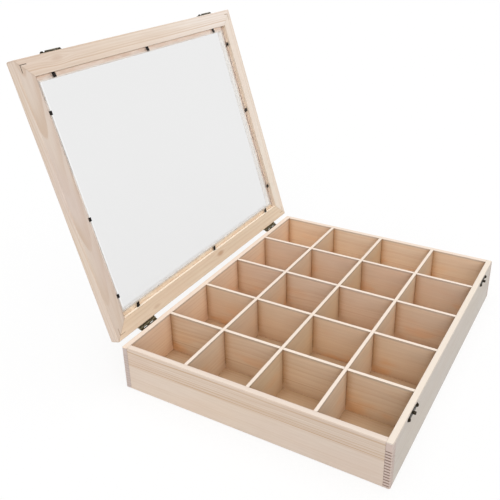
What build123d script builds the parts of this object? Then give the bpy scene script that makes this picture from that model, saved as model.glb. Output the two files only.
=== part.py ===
from build123d import *
from math import cos, radians, sin
import os

os.makedirs("parts", exist_ok=True)

# Mineral specimen box: a finger-jointed tray of square compartments under a glazed, mitred lid.
# Millimetres. Origin at the middle of the underside, front towards -Y, hinges along +Y.
# The lid stands open against the stops of its hinges, the latch tongues lie folded back on it.

# Compartments
cell = 75.9
columns = 5
rows = 4
divider_t = 4.2
lap_clear = 0.05

# Walls
wall_t = 7.5
base_h = 58.0
corner_cut = 1.2
edge_cut = 0.8

# Corner joints: one tall finger at the rim, narrow fingers below it
rim_finger_h = 11.0
finger_count = 13

# Bottom board, let into a rabbet and flush with the lower edges of the walls
bottom_t = 3.0
rabbet_depth = 3.5
rabbet_clear = 0.1

# Lid frame, measured from its inner face
lid_t = 12.0
rail_w = 21.0
lip_w = 7.0
rebate_depth = 5.4
lid_gap = 0.5
open_angle = 106.9

# Glass, and the points that hold it
glass_t = 2.0
glass_clear = 0.75
tab_w = 4.7
tab_t = 0.4
tab_root = 3.0
tab_flat = 0.7
tab_free = 5.3
tab_bend = 12.0
tabs_front = (-157.7, 4.0, 155.9)
tabs_back = (-155.5, 11.6, 157.6)
tabs_left = (47.9, 145.0, 269.5)
tabs_right = (56.4, 181.6, 283.2)

# V-nails across the mitres
v_inset = 6.0
v_leg = 9.0
v_t = 0.6
v_depth = 6.5

# Hinges: pin axis behind the back face and above the rim
pin_out = 3.0
pin_up = 0.8
hinge_inset = 52.0
leaf_l = 29.5
leaf_h = 10.0
leaf_t = 0.8
leaf_start_base = 0.65
leaf_start_lid = 0.4
knuckle_count = 5
knuckle_gap = 0.35
knuckle_r = 1.4
hinge_pin_r = 0.6
pin_clear = 0.05
heel_gap = 0.3
heel_t = 1.3
heel_l = 3.6
screw_r = 1.0
screw_l = 6.0
screw_head_r = 1.9
screw_head_h = 0.7
screw_head_sides = 16
screw_spacing = 19.0
screw_drop = 6.4
hole_clear = 0.1
shank_sides = 8

# Latches: plate and tongue on the lid's front edge, keeper on the box front
latch_inset = 56.6
plate_l = 31.0
plate_t = 0.6
plate_mid_l = 20.0
plate_h = 8.0
plate_start = 0.9
ear_h = 4.6
keeper_mid_l = 17.0
keeper_h = 6.0
keeper_drop = 3.7
nose_w = 3.0
nose_h = 2.2
nose_out = 4.0
nose_r = 0.5
barrel_r = 0.8
barrel_out = 1.7
barrel_up = 3.0
barrel_gap = 0.4
plate_barrel_l = 3.0
latch_pin_r = 0.4
tongue_w = 12.0
tongue_t = 0.5
tongue_l = 11.2
curl_r = 1.6
slot_w = 4.2
slot_from = 5.2
slot_to = 9.6
nail_r = 0.6
nail_l = 6.0
nail_head_r = 2.0
nail_head_h = 1.9
head_taper = 20
nail_spacing = 25.6

# Derived sizes
pitch = cell + divider_t
inner_l = columns * cell + (columns - 1) * divider_t
inner_w = rows * cell + (rows - 1) * divider_t
outer_l = inner_l + 2 * wall_t
outer_w = inner_w + 2 * wall_t
divider_h = base_h - bottom_t
finger_h = (base_h - rim_finger_h) / finger_count
tilt = radians(open_angle)
pin_y = outer_w / 2 + pin_out
pin_z = base_h + pin_up
back_face = -pin_out
front_face = -pin_out - outer_w
lid_in = lid_gap - pin_up
lid_out = lid_in + lid_t
glass_in = lid_in + rebate_depth - glass_t
lid_mid = -pin_out - outer_w / 2
knuckle_pitch = leaf_l / knuckle_count
knuckle_l = knuckle_pitch - knuckle_gap
latch_y = front_face - barrel_out
latch_z = lid_in + barrel_up
plate_mid = lid_in + plate_start + plate_h / 2
keeper_mid = -pin_up - keeper_drop


def section(x, angle):
    # Profile plane across the hinge axis at x, turned back by angle from the closed position
    return Plane(
        origin=(x, pin_y, pin_z),
        x_dir=(0, cos(angle), -sin(angle)),
        z_dir=(1, 0, 0),
    )


def facing(x, y, z, angle, toward):
    # Plane square to the front-to-back direction, through a point given from the hinge axis
    return Plane(
        origin=(x, pin_y + y * cos(angle) + z * sin(angle), pin_z - y * sin(angle) + z * cos(angle)),
        x_dir=(1, 0, 0),
        z_dir=(0, toward * cos(angle), -toward * sin(angle)),
    )


lid_plane = Plane(origin=(0, pin_y, pin_z), x_dir=(1, 0, 0), z_dir=(0, sin(tilt), cos(tilt)))

cross_x = [-inner_l / 2 + i * pitch - divider_t / 2 for i in range(1, columns)]
long_y = [-inner_w / 2 + i * pitch - divider_t / 2 for i in range(1, rows)]
hinge_x = {"left": hinge_inset - outer_l / 2, "right": outer_l / 2 - hinge_inset}
latch_x = {"left": latch_inset - outer_l / 2, "right": outer_l / 2 - latch_inset}
screw_x = [x + s * screw_spacing / 2 for x in hinge_x.values() for s in (-1, 1)]
nail_x = [x + s * nail_spacing / 2 for x in latch_x.values() for s in (-1, 1)]

finger_top = base_h - rim_finger_h
side_fingers = [(finger_top - (i + 1) * finger_h, finger_h) for i in range(0, finger_count, 2)]
long_fingers = [(finger_top - (i + 1) * finger_h, finger_h) for i in range(1, finger_count, 2)]
long_fingers.append((finger_top, rim_finger_h))

# Fasteners first, so that the wood and the plates are bored from the same pieces.
# Their shanks are drawn with few sides.
with BuildPart() as base_screws:
    for x in screw_x:
        with BuildSketch(facing(x, back_face + leaf_t, -screw_drop, 0, -1)):
            RegularPolygon(screw_r, shank_sides)
        extrude(amount=screw_l)
        with BuildSketch(facing(x, back_face + leaf_t, -screw_drop, 0, 1)):
            RegularPolygon(screw_head_r, screw_head_sides)
        extrude(amount=screw_head_h, taper=head_taper)
base_screws.part.label = "hinge_screws_base"
export_step(base_screws.part, "parts/hinge_screws_base.step")

with BuildPart() as lid_screws:
    for x in screw_x:
        with BuildSketch(facing(x, back_face + leaf_t, screw_drop, tilt, -1)):
            RegularPolygon(screw_r, shank_sides)
        extrude(amount=screw_l)
        with BuildSketch(facing(x, back_face + leaf_t, screw_drop, tilt, 1)):
            RegularPolygon(screw_head_r, screw_head_sides)
        extrude(amount=screw_head_h, taper=head_taper)
lid_screws.part.label = "hinge_screws_lid"
export_step(lid_screws.part, "parts/hinge_screws_lid.step")

with BuildPart() as keeper_nails:
    for x in nail_x:
        with BuildSketch(facing(x, front_face - plate_t, keeper_mid, 0, 1)):
            RegularPolygon(nail_r, shank_sides)
        extrude(amount=nail_l)
        with BuildSketch(facing(x, front_face - plate_t, keeper_mid, 0, -1)):
            Circle(nail_head_r)
        extrude(amount=nail_head_h, taper=head_taper)
keeper_nails.part.label = "keeper_nails"
export_step(keeper_nails.part, "parts/keeper_nails.step")

with BuildPart() as plate_nails:
    for x in nail_x:
        with BuildSketch(facing(x, front_face - plate_t, plate_mid, tilt, 1)):
            RegularPolygon(nail_r, shank_sides)
        extrude(amount=nail_l)
        with BuildSketch(facing(x, front_face - plate_t, plate_mid, tilt, -1)):
            Circle(nail_head_r)
        extrude(amount=nail_head_h, taper=head_taper)
plate_nails.part.label = "latch_plate_nails"
export_step(plate_nails.part, "parts/latch_plate_nails.step")

# Walls: one ring with its arrises taken off, rabbeted for the bottom board, then parted at the corner joints
with BuildPart() as box_ring:
    with BuildSketch() as outline:
        Rectangle(outer_l, outer_w)
        chamfer(outline.vertices(), corner_cut)
    extrude(amount=base_h)
    chamfer(box_ring.edges().group_by(Axis.Z)[-1] + box_ring.edges().group_by(Axis.Z)[0], edge_cut)
    with BuildSketch():
        Rectangle(inner_l, inner_w)
    extrude(amount=base_h, mode=Mode.SUBTRACT)
    with BuildSketch():
        Rectangle(inner_l + 2 * rabbet_depth, inner_w + 2 * rabbet_depth)
    extrude(amount=bottom_t, mode=Mode.SUBTRACT)

corner_x = (outer_l - wall_t) / 2
corner_y = (outer_w - wall_t) / 2

for name, side, fixings in (("front_panel", -1, keeper_nails), ("back_panel", 1, base_screws)):
    with BuildPart() as long_panel:
        add(box_ring.part)
        with BuildSketch():
            with Locations((0, side * corner_y)):
                Rectangle(outer_l, wall_t)
        extrude(amount=base_h, mode=Mode.INTERSECT)
        for z, height in side_fingers:
            with BuildSketch(Plane.XY.offset(z)):
                with Locations((-corner_x, side * corner_y), (corner_x, side * corner_y)):
                    Rectangle(wall_t, wall_t)
            extrude(amount=height, mode=Mode.SUBTRACT)
        add(fixings.part, mode=Mode.SUBTRACT)
    long_panel.part.label = name
    export_step(long_panel.part, f"parts/{name}.step")

for name, side in (("left_panel", -1), ("right_panel", 1)):
    with BuildPart() as side_panel:
        add(box_ring.part)
        with BuildSketch():
            with Locations((side * corner_x, 0)):
                Rectangle(wall_t, outer_w)
        extrude(amount=base_h, mode=Mode.INTERSECT)
        for z, height in long_fingers:
            with BuildSketch(Plane.XY.offset(z)):
                with Locations((side * corner_x, -corner_y), (side * corner_x, corner_y)):
                    Rectangle(wall_t, wall_t)
            extrude(amount=height, mode=Mode.SUBTRACT)
    side_panel.part.label = name
    export_step(side_panel.part, f"parts/{name}.step")

board_grow = 2 * (rabbet_depth - rabbet_clear)
with BuildPart() as bottom_board:
    with BuildSketch():
        Rectangle(inner_l + board_grow, inner_w + board_grow)
    extrude(amount=bottom_t)
bottom_board.part.label = "bottom_board"
export_step(bottom_board.part, "parts/bottom_board.step")

# Dividers: half-lapped, the long strips slotted from below and the cross strips from above
slot = divider_t + 2 * lap_clear
for i, y in enumerate(long_y, start=1):
    with BuildPart() as long_divider:
        with BuildSketch(Plane.XY.offset(bottom_t)):
            with Locations((0, y)):
                Rectangle(inner_l, divider_t)
        extrude(amount=divider_h)
        with BuildSketch(Plane.XY.offset(bottom_t)):
            with Locations(*[(x, y) for x in cross_x]):
                Rectangle(slot, divider_t)
        extrude(amount=divider_h / 2, mode=Mode.SUBTRACT)
    long_divider.part.label = f"long_divider_{i}"
    export_step(long_divider.part, f"parts/long_divider_{i}.step")

for i, x in enumerate(cross_x, start=1):
    with BuildPart() as cross_divider:
        with BuildSketch(Plane.XY.offset(bottom_t)):
            with Locations((x, 0)):
                Rectangle(divider_t, inner_w)
        extrude(amount=divider_h)
        with BuildSketch(Plane.XY.offset(bottom_t + divider_h / 2)):
            with Locations(*[(x, y) for y in long_y]):
                Rectangle(divider_t, slot)
        extrude(amount=divider_h / 2, mode=Mode.SUBTRACT)
    cross_divider.part.label = f"cross_divider_{i}"
    export_step(cross_divider.part, f"parts/cross_divider_{i}.step")

# V-nails: thin angles across the mitres, driven flush with the lid's inner face
with BuildPart() as v_nails:
    with BuildSketch(lid_plane.offset(lid_in)):
        for sx in (-1, 1):
            for sy in (-1, 1):
                apex = (sx * (outer_l / 2 - v_inset), lid_mid + sy * (outer_w / 2 - v_inset))
                legs = [(0, 0), (v_leg, 0), (v_leg, v_t), (v_t, v_t), (v_t, v_leg), (0, v_leg)]
                Polygon(*[(apex[0] - sx * u, apex[1] - sy * v) for u, v in legs], align=None)
    extrude(amount=v_depth)
v_nails.part.label = "mitre_v_nails"
export_step(v_nails.part, "parts/mitre_v_nails.step")

# Glazing points: thin strips driven into the rebate wall over the glass and bent up off it
bend = radians(tab_bend)
tip_u = tab_flat + tab_free * cos(bend)
tip_z = glass_in - tab_free * sin(bend)
tab_profile = [
    (-tab_root, glass_in),
    (tab_flat, glass_in),
    (tip_u, tip_z),
    (tip_u - tab_t * sin(bend), tip_z - tab_t * cos(bend)),
    (tab_flat - tab_t * (1 - cos(bend)) / sin(bend), glass_in - tab_t),
    (-tab_root, glass_in - tab_t),
]
tab_spots = [(x, front_face + rail_w, 90) for x in tabs_front]
tab_spots += [(x, back_face - rail_w, -90) for x in tabs_back]
tab_spots += [(rail_w - outer_l / 2, back_face - s, 0) for s in tabs_left]
tab_spots += [(outer_l / 2 - rail_w, back_face - s, 180) for s in tabs_right]
with BuildPart() as glazing_tabs:
    for x, y, turn in tab_spots:
        spot = lid_plane.location * Location((x, y, 0), (0, 0, turn)) * Location((0, 0, 0), (90, 0, 0))
        with BuildSketch(Plane(spot)):
            Polygon(*tab_profile, align=None)
        extrude(amount=tab_w / 2, both=True)
glazing_tabs.part.label = "glazing_tabs"
export_step(glazing_tabs.part, "parts/glazing_tabs.step")

# Lid frame: one slab with its opening and rebate, then parted along the mitres
with BuildPart() as lid_ring:
    with BuildSketch(lid_plane.offset(lid_in)) as outline:
        with Locations((0, lid_mid)):
            Rectangle(outer_l, outer_w)
        chamfer(outline.vertices(), corner_cut)
    extrude(amount=lid_t)
    across = Axis((0, 0, 0), lid_plane.z_dir)
    chamfer(lid_ring.edges().group_by(across)[-1] + lid_ring.edges().group_by(across)[0], edge_cut)
    with BuildSketch(lid_plane.offset(lid_in)):
        with Locations((0, lid_mid)):
            Rectangle(outer_l - 2 * (rail_w + lip_w), outer_w - 2 * (rail_w + lip_w))
    extrude(amount=lid_t, mode=Mode.SUBTRACT)
    with BuildSketch(lid_plane.offset(lid_in)):
        with Locations((0, lid_mid)):
            Rectangle(outer_l - 2 * rail_w, outer_w - 2 * rail_w)
    extrude(amount=rebate_depth, mode=Mode.SUBTRACT)
    add(v_nails.part, mode=Mode.SUBTRACT)
    add(glazing_tabs.part, mode=Mode.SUBTRACT)
    add(lid_screws.part, mode=Mode.SUBTRACT)
    add(plate_nails.part, mode=Mode.SUBTRACT)

reach_x = outer_l / 2
reach_y = outer_w / 2
member_w = rail_w + lip_w
for name, side in (("lid_front_rail", -1), ("lid_back_rail", 1)):
    outer = lid_mid + side * reach_y
    inner = outer - side * member_w
    with BuildPart() as rail:
        add(lid_ring.part)
        with BuildSketch(lid_plane.offset(lid_in)):
            Polygon(
                (-reach_x, outer),
                (reach_x, outer),
                (reach_x - member_w, inner),
                (member_w - reach_x, inner),
                align=None,
            )
        extrude(amount=lid_t, mode=Mode.INTERSECT)
    rail.part.label = name
    export_step(rail.part, f"parts/{name}.step")

for name, side in (("lid_left_stile", -1), ("lid_right_stile", 1)):
    outer = side * reach_x
    inner = outer - side * member_w
    with BuildPart() as stile:
        add(lid_ring.part)
        with BuildSketch(lid_plane.offset(lid_in)):
            Polygon(
                (outer, lid_mid - reach_y),
                (outer, lid_mid + reach_y),
                (inner, lid_mid + reach_y - member_w),
                (inner, lid_mid - reach_y + member_w),
                align=None,
            )
        extrude(amount=lid_t, mode=Mode.INTERSECT)
    stile.part.label = name
    export_step(stile.part, f"parts/{name}.step")

with BuildPart() as glass:
    with BuildSketch(lid_plane.offset(glass_in)):
        with Locations((0, lid_mid)):
            Rectangle(outer_l - 2 * (rail_w + glass_clear), outer_w - 2 * (rail_w + glass_clear))
    extrude(amount=glass_t)
glass.part.label = "glass_pane"
export_step(glass.part, "parts/glass_pane.step")

# Hinges: leaves on the outside faces, alternate knuckles on one pin
for side, hx in hinge_x.items():
    start = hx - leaf_l / 2
    with BuildPart() as leaf_base:
        with BuildSketch(section(start, 0)):
            with Locations((back_face, -leaf_start_base)):
                Rectangle(leaf_t, leaf_h, align=(Align.MIN, Align.MAX))
        extrude(amount=leaf_l)
        for k in range(0, knuckle_count, 2):
            knuckle_x = start + k * knuckle_pitch + knuckle_gap / 2
            with BuildSketch(section(knuckle_x, 0)):
                Circle(knuckle_r)
                with Locations((back_face, -knuckle_r)):
                    Rectangle(pin_out, leaf_t, align=(Align.MIN, Align.MIN))
            extrude(amount=knuckle_l)
            # Heel that the lid's leaf comes down on when the lid is fully open
            with BuildSketch(section(knuckle_x, tilt)):
                with Locations((back_face + leaf_t + heel_gap, 0)):
                    Rectangle(heel_t, heel_l, align=(Align.MIN, Align.MIN))
            extrude(amount=knuckle_l)
        with BuildSketch(section(start, 0)):
            Circle(hinge_pin_r + pin_clear)
        extrude(amount=leaf_l, mode=Mode.SUBTRACT)
        for x in (hx - screw_spacing / 2, hx + screw_spacing / 2):
            with BuildSketch(facing(x, back_face, -screw_drop, 0, 1)):
                RegularPolygon(screw_r + hole_clear, shank_sides)
            extrude(amount=leaf_t, mode=Mode.SUBTRACT)
    leaf_base.part.label = f"hinge_leaf_base_{side}"
    export_step(leaf_base.part, f"parts/hinge_leaf_base_{side}.step")

    with BuildPart() as leaf_lid:
        with BuildSketch(section(start, tilt)):
            with Locations((back_face, leaf_start_lid)):
                Rectangle(leaf_t, leaf_h, align=(Align.MIN, Align.MIN))
        extrude(amount=leaf_l)
        for k in range(1, knuckle_count, 2):
            knuckle_x = start + k * knuckle_pitch + knuckle_gap / 2
            with BuildSketch(section(knuckle_x, tilt)):
                Circle(knuckle_r)
                with Locations((back_face, knuckle_r)):
                    Rectangle(pin_out, leaf_t, align=(Align.MIN, Align.MAX))
            extrude(amount=knuckle_l)
        with BuildSketch(section(start, tilt)):
            Circle(hinge_pin_r + pin_clear)
        extrude(amount=leaf_l, mode=Mode.SUBTRACT)
        for x in (hx - screw_spacing / 2, hx + screw_spacing / 2):
            with BuildSketch(facing(x, back_face, screw_drop, tilt, 1)):
                RegularPolygon(screw_r + hole_clear, shank_sides)
            extrude(amount=leaf_t, mode=Mode.SUBTRACT)
    leaf_lid.part.label = f"hinge_leaf_lid_{side}"
    export_step(leaf_lid.part, f"parts/hinge_leaf_lid_{side}.step")

    first = start + knuckle_gap / 2
    last = start + leaf_l - knuckle_gap / 2
    with BuildPart() as hinge_pin:
        with BuildSketch(section(first, 0)):
            Circle(hinge_pin_r)
        extrude(amount=last - first)
    hinge_pin.part.label = f"hinge_pin_{side}"
    export_step(hinge_pin.part, f"parts/hinge_pin_{side}.step")

# Latches: a barrelled plate and its tongue on the lid, a keeper with a nose on the box
for side, lx in latch_x.items():
    with BuildPart() as keeper:
        with BuildSketch(facing(lx, front_face, keeper_mid, 0, -1)):
            Rectangle(keeper_mid_l, keeper_h)
            SlotOverall(plate_l, ear_h)
        extrude(amount=plate_t)
        with BuildSketch(facing(lx, front_face, keeper_mid, 0, -1)):
            Rectangle(nose_w, nose_h)
        extrude(amount=nose_out)
        fillet(keeper.edges().group_by(Axis.Y)[0], nose_r)
        for x in (lx - nail_spacing / 2, lx + nail_spacing / 2):
            with BuildSketch(facing(x, front_face, keeper_mid, 0, -1)):
                RegularPolygon(nail_r + hole_clear, shank_sides)
            extrude(amount=plate_t, mode=Mode.SUBTRACT)
    keeper.part.label = f"latch_keeper_{side}"
    export_step(keeper.part, f"parts/latch_keeper_{side}.step")

    barrel_from = tongue_w / 2 + barrel_gap
    barrel_to = barrel_from + plate_barrel_l
    with BuildPart() as plate:
        with BuildSketch(facing(lx, front_face, plate_mid, tilt, -1)):
            Rectangle(plate_mid_l, plate_h)
            SlotOverall(plate_l, ear_h)
        extrude(amount=plate_t)
        for barrel_x in (lx - barrel_to, lx + barrel_from):
            with BuildSketch(section(barrel_x, tilt)):
                with Locations((latch_y, latch_z)):
                    Circle(barrel_r)
                with Locations((latch_y, latch_z + barrel_r)):
                    Rectangle(barrel_out, plate_t, align=(Align.MIN, Align.MAX))
            extrude(amount=plate_barrel_l)
        with BuildSketch(section(lx - barrel_to, tilt)):
            with Locations((latch_y, latch_z)):
                Circle(latch_pin_r + pin_clear)
        extrude(amount=2 * barrel_to, mode=Mode.SUBTRACT)
        for x in (lx - nail_spacing / 2, lx + nail_spacing / 2):
            with BuildSketch(facing(x, front_face, plate_mid, tilt, -1)):
                RegularPolygon(nail_r + hole_clear, shank_sides)
            extrude(amount=plate_t, mode=Mode.SUBTRACT)
    plate.part.label = f"latch_plate_{side}"
    export_step(plate.part, f"parts/latch_plate_{side}.step")

    with BuildPart() as latch_pin:
        with BuildSketch(section(lx - barrel_to, tilt)):
            with Locations((latch_y, latch_z)):
                Circle(latch_pin_r)
        extrude(amount=2 * barrel_to)
    latch_pin.part.label = f"latch_pin_{side}"
    export_step(latch_pin.part, f"parts/latch_pin_{side}.step")

    with BuildPart() as tongue:
        with BuildSketch(section(lx - tongue_w / 2, tilt)):
            with Locations((latch_y, latch_z)):
                Circle(barrel_r)
            with Locations((latch_y + barrel_r, latch_z)):
                Rectangle(tongue_t, tongue_l, align=(Align.MAX, Align.MIN))
            with Locations((latch_y, latch_z)):
                Circle(latch_pin_r + pin_clear, mode=Mode.SUBTRACT)
        extrude(amount=tongue_w)
        # Finger lift, curled away from the box when the tongue hangs down
        with BuildSketch(section(lx - tongue_w / 2, tilt)):
            with Locations((latch_y + barrel_r + curl_r, latch_z + tongue_l)):
                Circle(curl_r + tongue_t)
                Circle(curl_r, mode=Mode.SUBTRACT)
                Rectangle(
                    curl_r + tongue_t,
                    curl_r + tongue_t,
                    align=(Align.MAX, Align.MIN),
                    mode=Mode.INTERSECT,
                )
        extrude(amount=tongue_w)
        with BuildSketch(facing(lx, latch_y, latch_z + (slot_from + slot_to) / 2, tilt, 1)):
            Rectangle(slot_w, slot_to - slot_from)
        extrude(amount=2 * barrel_r, mode=Mode.SUBTRACT)
    tongue.part.label = f"latch_tongue_{side}"
    export_step(tongue.part, f"parts/latch_tongue_{side}.step")
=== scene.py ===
import math

import bmesh
import bpy
from mathutils import Matrix, Vector


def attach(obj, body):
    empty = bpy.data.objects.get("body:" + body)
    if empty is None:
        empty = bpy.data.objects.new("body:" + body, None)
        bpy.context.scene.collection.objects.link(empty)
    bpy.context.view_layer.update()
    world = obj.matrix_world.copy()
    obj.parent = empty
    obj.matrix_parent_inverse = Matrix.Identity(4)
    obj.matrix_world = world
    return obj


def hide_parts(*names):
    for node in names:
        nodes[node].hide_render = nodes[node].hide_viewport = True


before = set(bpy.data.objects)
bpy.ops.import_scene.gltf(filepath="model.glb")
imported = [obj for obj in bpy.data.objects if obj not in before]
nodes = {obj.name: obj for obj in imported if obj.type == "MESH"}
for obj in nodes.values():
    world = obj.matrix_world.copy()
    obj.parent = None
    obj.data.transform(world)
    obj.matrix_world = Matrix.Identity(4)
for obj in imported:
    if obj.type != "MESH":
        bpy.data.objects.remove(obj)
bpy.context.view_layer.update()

# Sizes of the box, in metres, as the CAD has them
INNER_L, INNER_W, WALL = 0.3963, 0.3162, 0.0075
OUTER_L, OUTER_W, BASE_H = 0.4113, 0.3312, 0.058
PITCH = 0.0801  # from one compartment to the next
RIM_FINGER, FINGER = 0.011, 0.047 / 13  # the tall finger at the rim, and each narrow one below
RAIL, LIP_W = 0.021, 0.007
LID_Z, LIP_Z = 0.0585, 0.0639  # heights of the lid's inner face and lip, with the lid shut
PLATE_T, LEAF_T = 0.0006, 0.0008  # thickness of the latches' plates and the hinges' leaves
HINGE_X, SCREW_APART = 0.15365, 0.0095
LATCH_X, NAIL_APART = 0.14905, 0.0128
KEEPER_NAIL_Z, BASE_SCREW_Z = 0.0543, 0.0524
PLATE_NAIL_UP, LID_SCREW_UP = 0.0046, 0.0064  # over the hinge's axis, with the lid shut
PIN = Vector((0.0, 0.1686, 0.0588))  # a point on the axis of the lid's hinge
OPEN = math.radians(106.9)


# ---------------------------------------------------------------- node helpers

class Graph:
    """The nodes of a material or world, with short names for those that this scene uses."""

    def __init__(self, owner, output="ShaderNodeOutputMaterial"):
        owner.use_nodes = True
        self.owner = owner
        self.tree = owner.node_tree
        self.tree.nodes.clear()
        self.output = self.tree.nodes.new(output)

    def node(self, kind, inputs=None, **settings):
        made = self.tree.nodes.new(kind)
        for key, value in settings.items():
            setattr(made, key, value)
        for key, value in (inputs or {}).items():
            self.put(made.inputs[key], value)
        return made

    def put(self, socket, value):
        if isinstance(value, bpy.types.NodeSocket):
            self.tree.links.new(value, socket)
        else:
            socket.default_value = value

    def math(self, operation, a, b=0.0):
        return self.node("ShaderNodeMath", {0: a, 1: b}, operation=operation).outputs[0]

    def product(self, first, *others):
        for other in others:
            first = self.math("MULTIPLY", first, other)
        return first

    def absolute(self, value):
        return self.math("ABSOLUTE", value)

    def length(self, a, b):
        return self.math("SQRT", self.math("ADD", self.product(a, a), self.product(b, b)))

    def mix(self, factor, a, b, blend="MIX"):
        inputs = {0: factor, 6: a, 7: b}
        return self.node("ShaderNodeMix", inputs, data_type="RGBA", blend_type=blend).outputs[2]

    def blend(self, factor, a, b):
        inputs = {0: factor, 2: a, 3: b}
        return self.node("ShaderNodeMix", inputs, data_type="FLOAT").outputs[0]

    def step(self, value, low, high, to_low=0.0, to_high=1.0):
        """A smooth change from to_low to to_high while the value goes from low to high."""
        inputs = {
            "Value": value, "From Min": low, "From Max": high, "To Min": to_low, "To Max": to_high,
        }
        made = self.node("ShaderNodeMapRange", inputs, interpolation_type="SMOOTHSTEP")
        return made.outputs[0]

    def noise(self, vector, scale, detail=2.0, rough=0.5):
        inputs = {"Vector": vector, "Scale": scale, "Detail": detail, "Roughness": rough}
        return self.node("ShaderNodeTexNoise", inputs).outputs["Fac"]

    def open_sky(self, reach, samples):
        """How freely a point lies, from 0 in a tight corner to 1 with nothing within reach."""
        made = self.node("ShaderNodeAmbientOcclusion", {"Distance": reach}, samples=samples)
        return made.outputs["AO"]

    def split(self, vector):
        return self.node("ShaderNodeSeparateXYZ", {"Vector": vector}).outputs

    def join(self, x, y, z):
        return self.node("ShaderNodeCombineXYZ", {"X": x, "Y": y, "Z": z}).outputs[0]

    def shut_lid(self, vector, centre):
        """A lid coordinate or direction, turned back to where it is with the lid shut."""
        inputs = {"Vector": vector, "Center": centre, "Angle": OPEN}
        return self.node("ShaderNodeVectorRotate", inputs, rotation_type="X_AXIS").outputs[0]

    def beyond(self, x, y, length, width):
        """How far a point lies outside a rectangle centred on the origin. Below 0 inside it."""
        past = (
            self.math("SUBTRACT", self.absolute(v), side / 2)
            for v, side in ((x, length), (y, width))
        )
        return self.math("MAXIMUM", *past)

    def surface(self, shader):
        self.tree.links.new(shader.outputs[0], self.output.inputs["Surface"])
        return self.owner


def rgb(r, g, b):
    """A colour as it shows on screen, 0 to 255, turned to the linear values that shaders take."""
    def linear(v):
        v /= 255.0
        return v / 12.92 if v <= 0.04045 else ((v + 0.055) / 1.055) ** 2.4
    return (linear(r), linear(g), linear(b), 1.0)


def times(colour, tint):
    """A colour multiplied channel by channel."""
    return (*(min(channel * share, 1.0) for channel, share in zip(colour, tint)), 1.0)


# ---------------------------------------------------------------- wood

# Tints of every board, as shares of its own red, green and blue
LATE_WOOD = (0.74, 0.58, 0.43)
WASH = (1.02, 0.97, 0.86)
STREAK = (0.78, 0.64, 0.5)
FIBRE = (0.62, 0.5, 0.4)
KNOT = (0.5, 0.27, 0.13)
# Painted shade on the rounded edges
EDGE_SHADE = (0.86, 0.79, 0.72)

# Tints of the compartments' faces, mostly painted light and shade
BACK_END_SHADE, FRONT_END_LIGHT = (0.9, 0.86, 0.8), (1.07, 1.08, 1.1)
LOWER_HALF_LIGHT, UPPER_HALF_SHADE = (1.045, 1.06, 1.06), (0.82, 0.82, 0.84)
CORNER_SHADE, CREASE_SHADE = (0.64, 0.49, 0.34), (0.58, 0.46, 0.36)
WARM_PATCH = (1.04, 0.84, 0.64)
UNDER_RIM_SHADE = (0.66, 0.71, 0.79)

# Colours of the finger joints, and the painted highlight and painted light on the lip by its edge
FINGERS_BACK, FINGERS_FRONT = rgb(180, 166, 162), rgb(186, 168, 160)
GLUE_LINE, SEAM = rgb(112, 88, 76), rgb(140, 122, 116)
LIP_HIGHLIGHT, LIP_EDGE_LIGHT = rgb(255, 250, 243), rgb(255, 252, 248)

CORNER_SHADE_REACH, CREASE_SHADE_REACH, EDGE_RADIUS = 0.013, 0.0035, 0.0009
FLOOR_BELOW = 0.004  # what lies lower in a compartment is its floor
MARGIN = 0.0003  # how far a face may lie from where it is looked for
FACING = 0.5  # a face looks along an axis where its normal has more than this share of it
KNOT_SHAPE = 0.42  # a knot's width over its length
PORE_SCALE = 2500.0
ROUGH_LOW, ROUGH_HIGH = 0.56, 0.7


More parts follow.
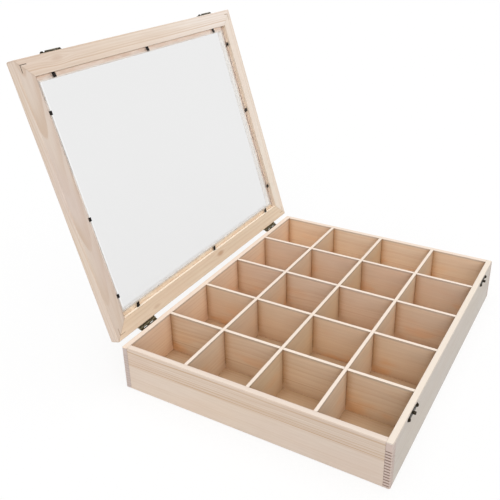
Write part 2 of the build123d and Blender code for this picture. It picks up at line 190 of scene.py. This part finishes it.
class Pine(Graph):
    """Planed pine, coloured by where a point lies in the box with its lid shut."""

    def __init__(self, name, axes, tone, seed, on_lid):
        super().__init__(bpy.data.materials.new(name))
        coordinates = self.node("ShaderNodeTexCoord")
        place, normal = coordinates.outputs["Object"], coordinates.outputs["Normal"]
        if on_lid:
            place, normal = self.shut_lid(place, PIN), self.shut_lid(normal, (0, 0, 0))
        self.at, self.facing = (dict(zip("XYZ", self.split(v))) for v in (place, normal))
        self.along, self.across, self.depth = (self.at[axis] for axis in axes)
        self.end_facing = self.facing[axes[0]]
        self.seed, self.colour = seed, tone

    def outside(self, length, width):
        return self.beyond(self.at["X"], self.at["Y"], length, width)

    def cover(self, factor, colour):
        """Lay another colour over the board's, as far as the factor says."""
        self.colour = self.mix(factor, self.colour, colour)

    def tint(self, factor, tint):
        """Multiply the board's colour by a tint, as far as the factor says."""
        self.colour = self.mix(factor, self.colour, (*tint, 1.0), "MULTIPLY")

    def grained(self, scale_along, scale_across, detail=2.0, rough=0.5):
        """Noise drawn out along the grain."""
        shifted = self.math("ADD", self.along, self.seed)
        vector = self.join(
            self.product(shifted, scale_along),
            self.product(self.across, scale_across),
            self.product(self.depth, scale_across),
        )
        return self.noise(vector, 1.0, detail, rough)

    def knots(self, spots):
        """The coordinate across the board as knots push it aside, and the knots' dark cores."""
        bent, cores = self.across, None
        for along, across, reach, strength in spots:
            aside = self.math("SUBTRACT", self.across, across)
            ahead = self.product(self.math("SUBTRACT", self.along, along), KNOT_SHAPE)
            far = self.length(ahead, aside)
            near = self.step(far, 0.0, reach * 2.6, 1.0, 0.0)
            push = self.product(self.math("SIGN", aside), near, reach * 0.8)
            bent = self.math("SUBTRACT", bent, push)
            core = self.product(self.step(far, reach * 0.25, reach, 1.0, 0.0), strength)
            cores = core if cores is None else self.math("MAXIMUM", cores, core)
        return bent, cores

    def rings(self, bent, heart, spacing, drift, taper):
        """Dark late wood, by the distance from the heart, which drifts along the board."""
        aside = self.math("ADD", self.math("SUBTRACT", bent, heart[0]), drift)
        radius = self.length(aside, self.math("SUBTRACT", self.depth, heart[1]))
        uneven = self.noise(self.join(self.product(radius, 90.0), self.seed, 0.0), 1.0)
        radius = self.math("ADD", radius, self.product(self.along, taper))
        turns = self.math("ADD", self.math("DIVIDE", radius, spacing), self.product(uneven, 1.6))
        ring = self.math("FRACT", turns)
        which = self.noise(self.join(self.math("FLOOR", turns), self.seed, 0.5), 3.7, 0.0)
        return self.product(
            self.step(ring, 0.2, 0.85),
            self.step(ring, 1.0, 0.92),
            self.step(which, 0.3, 0.7, 0.3, 1.0),
        )

    def paint_light_and_shade_inside(self, own):
        """The faces in the compartments, with painted light and shade: warm bounce on the walls,
        browner painted shade in corners and creases, cooler painted shade at the rim.
        """
        y, z = self.at["Y"], self.at["Z"]
        within = self.math("LESS_THAN", self.outside(INNER_L, INNER_W), 0.0004)
        on_floor = self.product(within, self.math("LESS_THAN", z, FLOOR_BELOW))
        within = self.product(within, self.math("LESS_THAN", self.facing["Z"], FACING))
        # Painted warm bounce light and shade on the walls, in the tint that the inside argument
        # gives
        self.tint(within, own)

        # Painted shade and light: the faces that look to the left and right are a little darker
        # towards their back end, lighter towards their front end and low down
        sideways = self.math("GREATER_THAN", self.absolute(self.facing["X"]), FACING)
        sideways = self.product(within, sideways)
        cells = self.math("DIVIDE", self.math("ADD", y, INNER_W / 2), PITCH)
        backward = self.math("FRACT", cells)
        self.tint(self.product(sideways, self.step(backward, 0.45, 0.95, 0.0, 0.6)), BACK_END_SHADE)
        self.tint(self.product(sideways, self.step(backward, 0.5, 0.0, 0.0, 0.6)), FRONT_END_LIGHT)
        self.tint(self.product(sideways, self.step(z, 0.044, 0.02)), LOWER_HALF_LIGHT)

        # Painted shade, browner in the corners
        corner = self.product(
            self.math("MAXIMUM", within, on_floor),
            self.step(self.open_sky(CORNER_SHADE_REACH, 6), 0.95, 0.42),
            self.step(z, 0.005, 0.018, 0.45, 1.0),
            self.step(self.math("MAXIMUM", sideways, on_floor), 0.4, 0.6, 0.62, 1.0),
        )
        self.tint(corner, CORNER_SHADE)
        # Painted shade, browner in the tight creases
        crease_shade = self.step(self.open_sky(CREASE_SHADE_REACH, 6), 0.8, 0.5, 0.0, 0.75)
        self.tint(self.product(within, crease_shade, self.step(z, 0.006, 0.012)), CREASE_SHADE)

        # Painted shade, darker and greyer towards the top of the walls
        self.tint(self.product(within, self.step(z, 0.025, 0.05, 0.0, 0.6)), UPPER_HALF_SHADE)
        patches = self.step(self.grained(17.0, 40.0), 0.52, 0.68)
        self.tint(self.product(within, patches, self.step(z, 0.04, 0.008, 0.15, 0.8)), WARM_PATCH)
        # Painted shade, darker and cooler just under the rim
        rim = self.step(z, BASE_H - 0.0034, BASE_H - 0.0014, 0.0, 0.8)
        self.tint(self.product(within, rim), UNDER_RIM_SHADE)

    def colour_rebate_in_painted_light(self, lip, wall, shade):
        """The lid's rebate in painted light: palest along the opening, a painted highlight, and
        darkest where the lip meets its wall, a painted shadow.
        """
        z = self.at["Z"]
        inward = self.outside(OUTER_L - 2 * (RAIL + LIP_W), OUTER_W - 2 * (RAIL + LIP_W))
        rebate = self.product(
            self.math("LESS_THAN", inward, LIP_W + MARGIN),
            self.math("GREATER_THAN", z, LID_Z + MARGIN),
            self.math("LESS_THAN", z, LIP_Z + MARGIN),
        )
        mottle = self.step(self.grained(60.0, 260.0), 0.35, 0.65)
        face = self.mix(mottle, lip, times(lip, (0.93, 0.86, 0.81)))
        # Painted shadow where the lip meets its wall
        wall_shadow = self.step(inward, LIP_W - 0.0016, LIP_W - 0.0002, 0.0, shade)
        face = self.mix(wall_shadow, face, times(lip, (0.66, 0.6, 0.54)))
        # Painted highlight along the opening
        face = self.mix(self.step(inward, 0.0028, 0.0006, 0.0, 0.9), face, LIP_HIGHLIGHT)
        # The lip and its wall in the colours given, which are painted light and shade
        on_lip = self.step(z, LIP_Z - 0.0005, LIP_Z - 0.0002)
        self.cover(rebate, self.mix(on_lip, wall, face))
        # Painted light on the lip's edge, seen through the glass
        self.cover(self.math("LESS_THAN", inward, MARGIN), LIP_EDGE_LIGHT)

    def colour_ends(self, end, late):
        """End grain."""
        across, depth = (self.product(v, PORE_SCALE) for v in (self.across, self.depth))
        pores = self.join(across, depth, self.seed)
        speck = self.step(self.noise(pores, 1.0), 0.35, 0.7, 0.0, 0.35)
        face = self.mix(speck, end, times(end, (0.8, 0.75, 0.71)))
        face = self.mix(self.product(late, 0.3), face, times(end, (0.75, 0.66, 0.6)))
        self.cover(self.step(self.absolute(self.end_facing), 0.75, 0.97), face)

    def colour_fingers(self):
        """Finger joints at the corners, with their glue lines, and the seam beside them."""
        x, y, z = (self.at[axis] for axis in "XYZ")
        beside = (
            self.step(self.absolute(v), side / 2 - WALL - 0.0002, side / 2 - WALL + 0.0002)
            for v, side in ((x, OUTER_L), (y, OUTER_W))
        )
        upright = self.math("LESS_THAN", self.absolute(self.facing["Z"]), FACING)
        corner = self.product(*beside, upright)
        face = self.mix(self.step(y, 0.0, -0.1), FINGERS_BACK, FINGERS_FRONT)
        self.cover(self.product(corner, 0.75), face)

        low = self.math("SUBTRACT", BASE_H - RIM_FINGER, z)
        phase = self.math("FRACT", self.math("ADD", self.math("DIVIDE", low, FINGER), 0.5))
        line = self.step(self.absolute(self.math("SUBTRACT", phase, 0.5)), 0.12, 0.25, 1.0, 0.0)
        line = self.product(line, self.math("GREATER_THAN", low, -0.0006), corner)
        # The glue lines show best on the ends' side of the front corners
        ends_side = self.step(self.absolute(self.facing["Y"]), 0.4, 0.6, 1.0, 0.2)
        self.cover(self.product(line, self.step(y, 0.0, -0.1, 0.12, 0.85), ends_side), GLUE_LINE)

        joint = self.absolute(self.math("SUBTRACT", self.absolute(y), OUTER_W / 2 - WALL))
        seam = self.product(
            self.step(joint, 0.0001, 0.0006, 0.3, 0.0),
            self.math("GREATER_THAN", self.absolute(self.facing["X"]), FACING),
            self.math("GREATER_THAN", self.absolute(x), INNER_L / 2 + 0.001),
        )
        self.cover(seam, SEAM)

    def finish(self, fibre, late):
        """Rounded edges a little darker in painted shade, fibres and late wood in the bump, and
        the shader.
        """
        soft = self.node("ShaderNodeBevel", {"Radius": EDGE_RADIUS}, samples=4).outputs[0]
        flat = self.node("ShaderNodeNewGeometry").outputs["Normal"]
        same = self.node("ShaderNodeVectorMath", {0: soft, 1: flat}, operation="DOT_PRODUCT")
        # Painted shade, darker where the rounded edges turn
        self.tint(self.step(same.outputs["Value"], 0.995, 0.9, 0.0, 0.6), EDGE_SHADE)
        height = self.math("ADD", self.product(fibre, 0.5), self.product(late, -0.6))
        bump = self.node(
            "ShaderNodeBump",
            {"Strength": 0.12, "Distance": 0.0004, "Height": height, "Normal": soft},
        )
        return self.surface(self.node(
            "ShaderNodeBsdfPrincipled",
            {
                "Base Color": self.colour,
                "Roughness": self.step(fibre, 0.2, 0.8, ROUGH_LOW, ROUGH_HIGH),
                "Specular IOR Level": 0.25,
                "Normal": bump.outputs[0],
            },
        ))


def wood(
    name, axes, tone, heart, spacing, contrast, wander, seed, on_lid=False, taper=0.0,
    fade=None, lines=(), runs=(), spots=(), pink=0.4, cloudy=(0.97, 0.87, 0.83),
    inside=None, lip=None, wall=None, shade=0.3, top=None, end=None, fingers=False,
):
    """The material of one board.

    axes: the directions of its grain, its width and its thickness.
    heart: where the tree's heart lies, across and deep. spacing, contrast, wander and taper
    are those of the rings round it. fade: the rings are weaker below a place across the board.
    lines: single dark rings, each its place across, half width and strength.
    spots: knots and round patches, each its place along and across, reach and strength.
    runs: slow changes of painted light and shade, each an axis, where it starts and ends, and a
    tint.
    pink and cloudy: how strong its clouds are, and their tint.
    inside, lip, wall, shade, top, end, fingers: the looks of single faces. inside, lip, wall,
    shade and top are painted light and shade: warm bounce in the compartments, light and shade on
    the lip and its wall, shadow where they meet, and light on the faces that look up.
    """
    g = Pine(name, axes, tone, seed, on_lid)
    bent, cores = g.knots(spots)
    drift = g.product(g.math("SUBTRACT", g.grained(5.0, 14.0), 0.5), wander * 2)
    late = g.rings(bent, heart, spacing, drift, taper)
    plain = 1.0
    if fade is not None:
        plain = g.step(g.across, *fade, 1.0)
        late = g.product(late, plain)
    for place, half, strength in lines:
        off = g.math("ADD", g.math("SUBTRACT", bent, place), g.product(drift, 0.3))
        late = g.math("MAXIMUM", late, g.step(g.absolute(off), half * 0.4, half, strength, 0.0))

    fibre, streak = g.grained(30.0, 1100.0, 3.0, 0.6), g.grained(6.0, 190.0)
    cloud, wash = g.grained(9.0, 30.0), g.grained(4.0, 11.0)
    g.cover(g.product(late, contrast), times(tone, LATE_WOOD))
    g.cover(g.step(cloud, 0.35, 0.7, 0.0, pink), times(tone, cloudy))
    g.cover(g.step(wash, 0.4, 0.7, 0.0, 0.35), times(tone, WASH))
    streaks = g.product(g.step(streak, 0.45, 0.75, 0.0, 0.35 * contrast), plain)
    g.cover(streaks, times(tone, STREAK))
    g.cover(g.step(fibre, 0.3, 0.75, 0.0, 0.16), times(tone, FIBRE))
    if cores is not None:
        g.cover(cores, times(tone, KNOT))
    # Painted light and shade, changing slowly along the board
    for axis, start, stop, tint in runs:
        g.tint(g.step(g.at[axis], start, stop), tint)

    # Painted light and shade in the compartments
    if inside is not None:
        g.paint_light_and_shade_inside(inside)
    # Painted light and shade in the lid's rebate
    if lip is not None:
        g.colour_rebate_in_painted_light(lip, wall, shade)
    # Painted light: the faces that look up are paler
    if top is not None:
        g.cover(g.step(g.facing["Z"], 0.6, 0.9), g.mix(0.75, g.colour, top))
    if end is not None:
        g.colour_ends(end, late)
    if fingers:
        g.colour_fingers()
    return g.finish(fibre, late)


# ---------------------------------------------------------------- metal and glass

def metal(name, base, tarnish, rough, metallic=1.0, seed=0.0, weathered=None):
    """Antiqued or blued metal: cloudy patina, fine brushing, darker in the corners.

    weathered: the paler colour that it has everywhere but near the box's front left corner.
    """
    g = Graph(bpy.data.materials.new(name))
    place = g.node("ShaderNodeTexCoord").outputs["Object"]
    moved = g.node("ShaderNodeVectorMath", {0: place, 1: (seed, seed, 0)}, operation="ADD")
    moved = moved.outputs[0]
    cloud = g.noise(moved, 420.0, 3.0, 0.55)
    patina = g.math(
        "MAXIMUM", g.step(cloud, 0.3, 0.8), g.step(g.open_sky(0.0015, 4), 0.75, 0.35)
    )
    colour = g.mix(patina, base, tarnish)
    if weathered is not None:
        x, y, _ = g.split(g.shut_lid(place, PIN))
        away = g.math("MAXIMUM", g.step(x, -0.1, 0.0), g.step(y, -0.1, 0.0))
        pale = g.mix(g.step(cloud, 0.3, 0.7), weathered, times(weathered, (0.7, 0.66, 0.62)))
        colour = g.mix(away, colour, pale)
    brushing = g.noise(moved, 2600.0)
    bump = g.node("ShaderNodeBump", {"Strength": 0.25, "Distance": 0.0001, "Height": brushing})
    return g.surface(g.node(
        "ShaderNodeBsdfPrincipled",
        {
            "Base Color": colour,
            "Metallic": metallic,
            "Roughness": g.blend(patina, rough, rough + 0.22),
            "Normal": bump.outputs[0],
        },
    ))


def glass():
    """Clear sheet glass, which passes most of what is behind it and mirrors a little."""
    g = Graph(bpy.data.materials.new("sheet_glass"))
    place = g.node("ShaderNodeTexCoord").outputs["Object"]
    smear = g.noise(place, 9.0)
    sheet = g.mix(smear, (0.914, 0.914, 0.914, 1.0), (0.918, 0.918, 0.918, 1.0))
    # Painted light: the pane passes more over the lip, so the wood of the lip shows through it
    # brighter, without the grey of the open pane
    x, y, _ = g.split(g.shut_lid(place, PIN))
    past = g.beyond(x, y, OUTER_L - 2 * (RAIL + LIP_W), OUTER_W - 2 * (RAIL + LIP_W))
    sheet = g.mix(g.step(past, -0.0008, 0.0004), sheet, (0.995, 0.992, 0.99, 1.0))
    through = g.node("ShaderNodeBsdfTransparent", {"Color": sheet})
    mirror = g.node("ShaderNodeBsdfGlossy", {"Color": (1, 1, 1, 1), "Roughness": 0.0})
    fresnel = g.node("ShaderNodeFresnel", {"IOR": 1.18})
    behind = g.node("ShaderNodeNewGeometry").outputs["Backfacing"]
    shine = g.product(fresnel.outputs[0], g.math("SUBTRACT", 1.0, behind))
    inputs = {0: shine, 1: through.outputs[0], 2: mirror.outputs[0]}
    return g.surface(g.node("ShaderNodeMixShader", inputs))


# ---------------------------------------------------------------- the CAD pieces

def dress(material, *names):
    for name in names:
        materials = nodes[name].data.materials
        materials.clear()
        materials.append(material)


CREAM = rgb(236, 216, 194)
# Painted light on the faces that look up
LIT_TOP = rgb(241, 226, 213)
LIT_DIVIDER_TOP = rgb(247, 234, 222)
END = rgb(206, 188, 176)
# Painted warm bounce light and shade on the faces in the compartments
PAINTED_BOUNCE = (0.96, 0.92, 0.86)
# Painted light on the lid's lip, and a painted highlight on its rebate's wall
LIT_LIP = rgb(248, 232, 220)
WALL_HIGHLIGHT = rgb(252, 236, 218)

# The inside and top tints of the panels below are painted light and shade
dress(wood(
    "pine_left_panel", "YZX", rgb(209, 194, 180), seed=0.31,
    heart=(-0.262, 0.012), spacing=0.0034, contrast=0.95, wander=0.0045, fade=(0.033, 0.036, 0.2),
    lines=[
        (0.0361, 0.0008, 1.3), (0.0378, 0.0004, 0.4), (0.0399, 0.0006, 1.0), (0.0431, 0.0005, 0.8),
        (0.0449, 0.0004, 0.5), (0.0484, 0.0005, 0.7), (0.0512, 0.0004, 0.5),
    ],
    # Painted shade, darker towards the front end
    runs=[("Y", 0.12, -0.16, (0.93, 0.94, 0.96))], pink=0.3,
    inside=(1.0, 0.98, 0.96), top=LIT_TOP, end=END, fingers=True,
), "left_panel")
dress(wood(
    "pine_right_panel", "YZX", CREAM, seed=1.7,
    heart=(0.255, -0.02), spacing=0.0052, contrast=0.26, wander=0.012,
    lines=[(0.021, 0.0006, 2.0), (0.041, 0.0005, 1.6)],
    inside=(1.14, 1.1, 1.04), top=LIT_TOP, end=END, fingers=True,
), "right_panel")
# The front panel's greyer tone is partly painted shade; its top is painted light
dress(wood(
    "pine_front_panel", "XZY", rgb(192, 186, 180), seed=2.3,
    heart=(-0.2, 0.09), spacing=0.0036, contrast=0.22, wander=0.004, pink=0.12,
    inside=PAINTED_BOUNCE, top=rgb(252, 238, 222), end=END, fingers=True,
), "front_panel")
dress(wood(
    "pine_back_panel", "XZY", CREAM, seed=3.9,
    heart=(0.24, -0.03), spacing=0.0033, contrast=0.28, wander=0.004,
    inside=(1.14, 1.08, 1.02), top=LIT_TOP, end=END, fingers=True,
), "back_panel")

# The dividers' inside and top tints are painted light and shade
LONG_DIVIDERS = [(CREAM, 0.18), (rgb(229, 209, 182), 0.12), (CREAM, 0.2)]
for i, (tone, contrast) in enumerate(LONG_DIVIDERS, start=1):
    dress(wood(
        f"pine_long_divider_{i}", "XZY", tone, seed=5.0 + i,
        heart=(0.13, -0.05 + 0.03 * i), spacing=0.005, contrast=contrast, wander=0.01,
        inside=PAINTED_BOUNCE, top=LIT_DIVIDER_TOP,
    ), f"long_divider_{i}")
CROSS_DIVIDERS = [
    (CREAM, 0.34), (rgb(234, 212, 190), 0.14),
    (rgb(236, 214, 196), 0.24), (rgb(238, 216, 198), 0.12),
]
for i, (tone, contrast) in enumerate(CROSS_DIVIDERS, start=1):
    dress(wood(
        f"pine_cross_divider_{i}", "YZX", tone, seed=9.0 + i,
        heart=(0.18, -0.06 + 0.03 * i), spacing=0.0058, contrast=contrast, wander=0.013,
        lines=[(0.014 + 0.003 * i, 0.0006, 2.2), (0.037 - 0.002 * i, 0.0005, 1.8)],
        inside=PAINTED_BOUNCE, top=LIT_DIVIDER_TOP,
    ), f"cross_divider_{i}")
# The bottom's inside tint is painted warm shade
dress(wood(
    "plywood_bottom", "YXZ", rgb(208, 182, 152), seed=14.2,
    heart=(-0.035, 0.02), spacing=0.0045, contrast=0.3, wander=0.012,
    inside=(0.93, 0.86, 0.76),
), "bottom_board")

dress(wood(
    "pine_lid_front", "XYZ", rgb(220, 205, 192), seed=20.4, on_lid=True,
    heart=(-0.28, 0.1), spacing=0.0034, contrast=0.8, wander=0.003,
    # Painted light, brighter and cooler towards the right end
    runs=[("X", -0.17, 0.14, (1.14, 1.22, 1.3))], pink=0.25,
    spots=[(-0.148, -0.158, 0.005, 0.16)],
    # Painted light on the lip and its wall, and strong painted shadow where they meet
    lip=LIT_LIP, wall=WALL_HIGHLIGHT, shade=0.85, end=END,
), "lid_front_rail")
dress(wood(
    "pine_lid_back", "XYZ", rgb(226, 208, 185), seed=22.1, on_lid=True,
    heart=(0.2, 0.02), spacing=0.0042, contrast=0.35, wander=0.003,
    spots=[(0.018, 0.1525, 0.0048, 0.5), (-0.13, 0.158, 0.004, 0.2)],
    # Painted highlight on the wall of its rebate
    lip=rgb(228, 210, 187), wall=rgb(254, 240, 222), end=END,
), "lid_back_rail")
dress(wood(
    "pine_lid_left", "YXZ", rgb(212, 198, 186), seed=24.6, on_lid=True,
    heart=(-0.199, 0.036), spacing=0.004, contrast=0.55, wander=0.009, taper=0.06,
    pink=0.8, cloudy=(0.94, 0.91, 0.93),
    # Painted light on the lip and its wall
    lip=LIT_LIP, wall=WALL_HIGHLIGHT, end=END,
), "lid_left_stile")
dress(wood(
    "pine_lid_right", "YXZ", rgb(230, 220, 210), seed=26.8, on_lid=True,
    heart=(0.3, 0.1), spacing=0.0038, contrast=0.4, wander=0.003,
    # Painted light, a little brighter towards the back end
    runs=[("Y", -0.05, 0.1, (1.02, 1.03, 1.01))],
    # Painted light on the lip, and painted shade on the wall of its rebate
    lip=LIT_LIP, wall=rgb(206, 190, 172), end=END,
), "lid_right_stile")

brass = metal("antique_brass", rgb(136, 126, 100), rgb(60, 53, 39), 0.34)
dress(glass(), "glass_pane")
dress(metal("blued_steel", rgb(44, 40, 39), rgb(24, 21, 20), 0.36, 0.8), "glazing_tabs")
dress(
    metal("nail_steel", rgb(78, 68, 60), rgb(56, 46, 40), 0.5, 0.5, weathered=rgb(186, 160, 134)),
    "mitre_v_nails",
)
dress(brass, *(name for name in nodes if name.startswith("hinge_")))
dress(
    metal("worn_brass", rgb(146, 137, 120), rgb(88, 80, 67), 0.3, seed=0.4),
    *(name for name in nodes if name.startswith("latch_")),
)
dress(
    metal("keeper_brass", rgb(72, 64, 52), rgb(33, 29, 23), 0.38, seed=0.7),
    "latch_keeper_left", "latch_keeper_right",
)


# ---------------------------------------------------------------- nails and screws

# Outlines, (radius, height above the plate), from the point to the middle of the head
NAIL = [
    (0, -0.0058), (0.0003, -0.0054), (0.0006, -0.0046), (0.0006, 0.0), (0.0016, 0.0),
    (0.00196, 0.00004), (0.002, 0.0002), (0.00197, 0.0006), (0.00185, 0.001), (0.00164, 0.00136),
    (0.00134, 0.00164), (0.00096, 0.00181), (0.0005, 0.00189), (0, 0.0019),
]
SCREW = [
    (0, -0.0058), (0.0004, -0.0052), (0.0009, -0.0044), (0.001, -0.0006), (0.001, 0.0),
    (0.0017, 0.0), (0.0019, 0.0001), (0.00182, 0.00028), (0.0016, 0.00044), (0.0014, 0.00053),
    (0.0012, 0.0006), (0.00105, 0.00064), (0.0009, 0.00067), (0.00072, 0.00069),
    (0.00055, 0.0007), (0.0004, 0.0007), (0.00025, 0.0007), (0.00012, 0.0007), (0, 0.0007),
]
CROSS_HALF = 0.00026  # half the width of the cross in a screw's head
CROSS_REACH, CROSS_DEPTH = 4.2 * CROSS_HALF, 1.5 * CROSS_HALF


def turned(name, profile, sides, crossed):
    """A lathed mesh, with a cross sunk in its head if crossed."""
    mesh = bpy.data.meshes.new(name)
    bm = bmesh.new()
    rings = []
    for radius, height in profile:
        ring = []
        for k in range(sides if radius else 1):
            turn = 2 * math.pi * k / sides
            x, y, z = radius * math.cos(turn), radius * math.sin(turn), height
            in_cross = radius < CROSS_REACH and min(abs(x), abs(y)) < CROSS_HALF
            if crossed and height > 0 and in_cross:
                z -= CROSS_DEPTH
            ring.append(bm.verts.new((x, y, z)))
        rings.append(ring)
    for lower, upper in zip(rings, rings[1:]):
        for k in range(sides):
            m = (k + 1) % sides
            if len(lower) == 1:
                bm.faces.new((lower[0], upper[m], upper[k]))
            elif len(upper) == 1:
                bm.faces.new((lower[k], lower[m], upper[0]))
            else:
                bm.faces.new((lower[k], lower[m], upper[m], upper[k]))
    bmesh.ops.recalc_face_normals(bm, faces=bm.faces)
    for face in bm.faces:
        face.smooth = True
    bm.to_mesh(mesh)
    bm.free()
    return mesh


def lid_point(x, y, z):
    """A point given from the hinge's axis with the lid shut, as it lies with the lid open."""
    c, s = math.cos(OPEN), math.sin(OPEN)
    return Vector((x, PIN.y + y * c + z * s, PIN.z - y * s + z * c))


def set_fasteners(stem, mesh, places, outward, body, node, material):
    """Nails or screws in place of one CAD node, with their heads turned outward."""
    mesh.materials.append(material)
    for k, place in enumerate(places, start=1):
        piece = bpy.data.objects.new(f"{stem}_{k}", mesh)
        piece.rotation_mode = "QUATERNION"
        piece.rotation_quaternion = Vector(outward).to_track_quat("Z", "Y")
        piece.location = place
        bpy.context.scene.collection.objects.link(piece)
        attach(piece, body)
        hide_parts(node)


def pairs(middle, apart):
    """The places of two fasteners on each of the two fittings, from left to right."""
    return [side * middle + half * apart for side in (-1, 1) for half in (-1, 1)]


screw_x, nail_x = pairs(HINGE_X, SCREW_APART), pairs(LATCH_X, NAIL_APART)
lid_back = PIN.y - OUTER_W / 2  # from the hinge's axis forward to the lid's back edge
forward_on_lid = Vector((0.0, -math.cos(OPEN), math.sin(OPEN)))
dark_nail = metal("nail_head_brass", rgb(70, 60, 48), rgb(34, 29, 23), 0.4)

set_fasteners(
    "keeper_nail", turned("keeper_nail", NAIL, 28, False),
    [Vector((x, -OUTER_W / 2 - PLATE_T, KEEPER_NAIL_Z)) for x in nail_x],
    (0, -1, 0), "base", "keeper_nails", dark_nail,
)
set_fasteners(
    "latch_plate_nail", turned("latch_plate_nail", NAIL, 28, False),
    [lid_point(x, -lid_back - OUTER_W - PLATE_T, PLATE_NAIL_UP) for x in nail_x],
    forward_on_lid, "lid", "latch_plate_nails", dark_nail,
)
set_fasteners(
    "hinge_screw_base", turned("hinge_screw_base", SCREW, 48, True),
    [Vector((x, OUTER_W / 2 + LEAF_T, BASE_SCREW_Z)) for x in screw_x],
    (0, 1, 0), "base", "hinge_screws_base", brass,
)
set_fasteners(
    "hinge_screw_lid", turned("hinge_screw_lid", SCREW, 48, True),
    [lid_point(x, -lid_back + LEAF_T, LID_SCREW_UP) for x in screw_x],
    -forward_on_lid, "lid", "hinge_screws_lid", brass,
)


# ---------------------------------------------------------------- stage, light and camera

FLOOR_HALF, FLOOR_DROP = 6, 0.0002
AMBIENT = 0.6  # strength of the light from all round
FLOOR_GLOW = 0.78  # share of plain white in the floor as the camera and mirrors see it
WHITE = (1.0, 1.0, 1.0, 1.0)


def floor_material():
    g = Graph(bpy.data.materials.new("stage_floor"))
    rays = g.node("ShaderNodeLightPath").outputs
    seen = g.product(rays["Is Camera Ray"], FLOOR_GLOW)
    mirrored = g.product(rays["Is Glossy Ray"], FLOOR_GLOW)
    plain = g.node("ShaderNodeBsdfDiffuse", {"Color": (0.93, 0.93, 0.93, 1.0)})
    bright = g.node("ShaderNodeEmission", {"Color": WHITE, "Strength": 1.0})
    inputs = {0: g.math("MAXIMUM", seen, mirrored), 1: plain.outputs[0], 2: bright.outputs[0]}
    return g.surface(g.node("ShaderNodeMixShader", inputs))


def sky():
    """Even light, and plain white behind the object, in its mirror images and through it."""
    g = Graph(bpy.data.worlds.new("stage_world"), "ShaderNodeOutputWorld")
    rays = g.node("ShaderNodeLightPath").outputs
    seen = g.math("MAXIMUM", rays["Is Camera Ray"], rays["Is Glossy Ray"])
    seen = g.math("MAXIMUM", seen, rays["Is Transmission Ray"])
    lit, white = (
        g.node("ShaderNodeBackground", {"Color": WHITE, "Strength": strength}).outputs[0]
        for strength in (AMBIENT, 1.0)
    )
    return g.surface(g.node("ShaderNodeMixShader", {0: seen, 1: lit, 2: white}))


def sun(name, direction, energy, angle):
    """A broad soft light from one direction, kept out of the mirror images."""
    data = bpy.data.lights.new(name, "SUN")
    data.energy = energy
    data.angle = math.radians(angle)
    made = bpy.data.objects.new(name, data)
    made.rotation_mode = "QUATERNION"
    made.rotation_quaternion = Vector(direction).to_track_quat("-Z", "Y")
    made.visible_glossy = False
    bpy.context.scene.collection.objects.link(made)


floor_mesh = bpy.data.meshes.new("stage_floor")
bm = bmesh.new()
bm.faces.new([
    bm.verts.new((x * FLOOR_HALF, y * FLOOR_HALF, 0))
    for x, y in ((-1, -1), (1, -1), (1, 1), (-1, 1))
])
bm.to_mesh(floor_mesh)
bm.free()
floor_mesh.materials.append(floor_material())
floor = bpy.data.objects.new("stage_floor", floor_mesh)
floor.location.z = -FLOOR_DROP
bpy.context.scene.collection.objects.link(floor)

bpy.context.scene.world = sky()
sun("stage_sun_high", (0.0, 0.2, -1.0), 0.9, 75)
sun("stage_sun_front", (0.72, 0.5, -0.48), 1.35, 60)

# The photograph's camera: where it stands, what it looks at, and its roll
EYE = Vector((-0.68202, -0.30378, 0.51997))
TARGET = Vector((0.10748, 0.13688, 0.09277))
ROLL = math.radians(-0.569)
forward = (TARGET - EYE).normalized()
right = forward.cross(Vector((0, 0, 1))).normalized()
up = right.cross(forward)
right, up = (
    math.cos(ROLL) * right + math.sin(ROLL) * up,
    math.cos(ROLL) * up - math.sin(ROLL) * right,
)
camera_data = bpy.data.cameras.new("camera")
camera_data.sensor_width = 36.0
camera_data.lens = 48.381
camera_data.shift_x = -0.0466
camera_data.shift_y = -0.055
camera_data.clip_start = 0.01
camera_data.clip_end = 50.0
camera = bpy.data.objects.new("camera", camera_data)
camera.matrix_world = Matrix((
    (right.x, up.x, -forward.x, EYE.x),
    (right.y, up.y, -forward.y, EYE.y),
    (right.z, up.z, -forward.z, EYE.z),
    (0, 0, 0, 1),
))
bpy.context.scene.collection.objects.link(camera)
bpy.context.scene.camera = camera
bpy.context.scene.view_settings.view_transform = "Standard"
